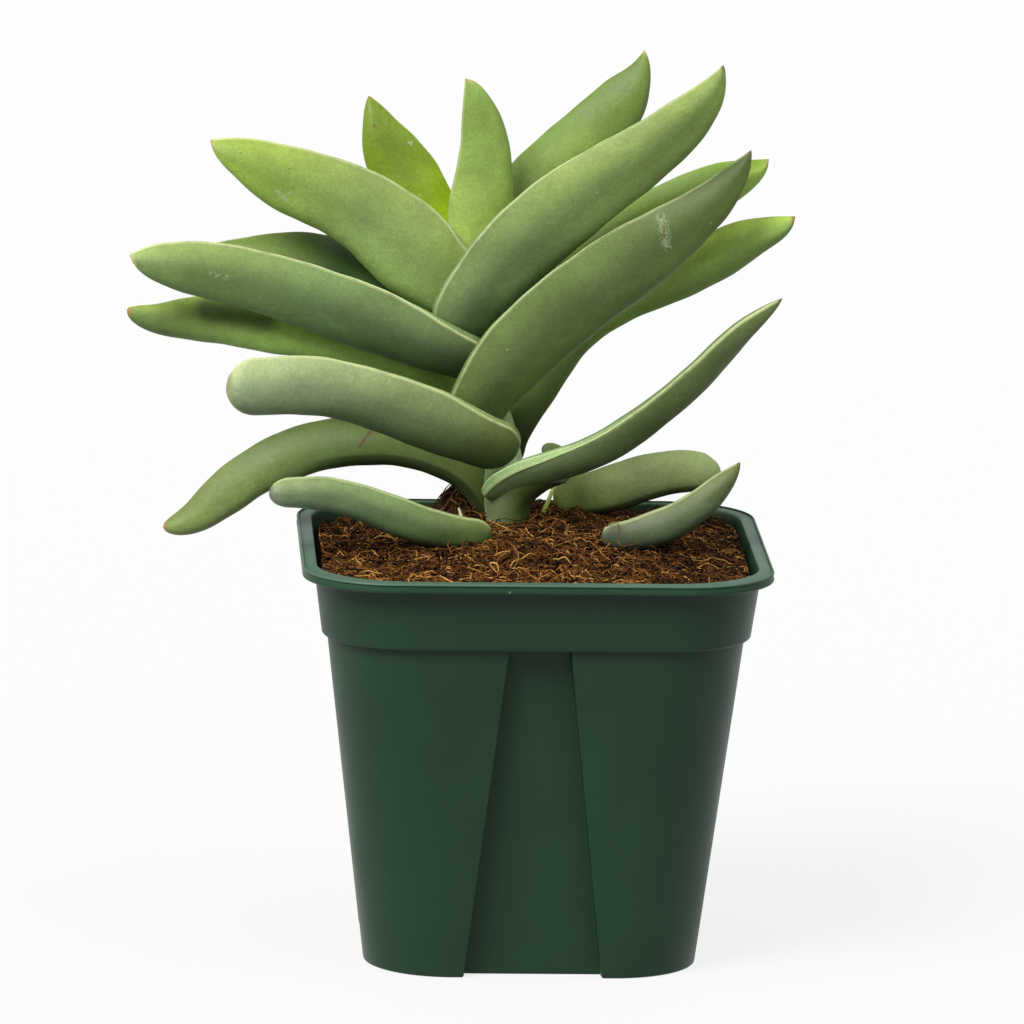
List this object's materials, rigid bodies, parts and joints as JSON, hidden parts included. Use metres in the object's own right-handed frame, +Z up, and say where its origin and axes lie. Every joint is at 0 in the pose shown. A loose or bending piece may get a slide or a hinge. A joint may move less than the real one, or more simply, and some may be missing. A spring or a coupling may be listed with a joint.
{
  "type": "potted crassula",
  "caption": "Succulent with paired, curving sickle-shaped leaves fanned to both sides of a short stem, in coir soil in a square tapering plastic nursery pot.",
  "frame": {"origin": "middle of the pot's flat underside, on the surface that it stands on", "axes": "+Z up; X along the fan of leaves, with +X to the side where the leaves point up and out; -Y the front, where the broad leaf faces show"},
  "size_m": [0.1549, 0.108, 0.2076],
  "materials": {
    "pot_plastic": "satin",
    "coir": "matte",
    "green_stem": "matte",
    "dry_bark": "matte",
    "dry_stalk": "matte",
    "seedling": "matte",
    "leaf": "matte"
  },
  "bodies": {
    "root": {"pot": "pot_plastic", "soil": "coir", "stem": "green_stem", "old_stem_stub": "dry_bark", "dry_twig": "dry_stalk", "seedling_stalk": "seedling", "seedling_leaf_1": "seedling", "seedling_leaf_2": "seedling", "leaf_1_left": "leaf", "leaf_1_right": "leaf", "leaf_2_left": "leaf", "leaf_2_right": "leaf", "leaf_3_left": "leaf", "leaf_3_right": "leaf", "leaf_4_left": "leaf", "leaf_4_right": "leaf", "leaf_5_left": "leaf", "leaf_5_right": "leaf", "leaf_6_left": "leaf", "leaf_6_right": "leaf", "leaf_7_left": "leaf", "leaf_7_right": "leaf", "leaf_low_left": "leaf", "leaf_low_back": "leaf", "leaf_low_front": "leaf"}
  },
  "joints": []
}
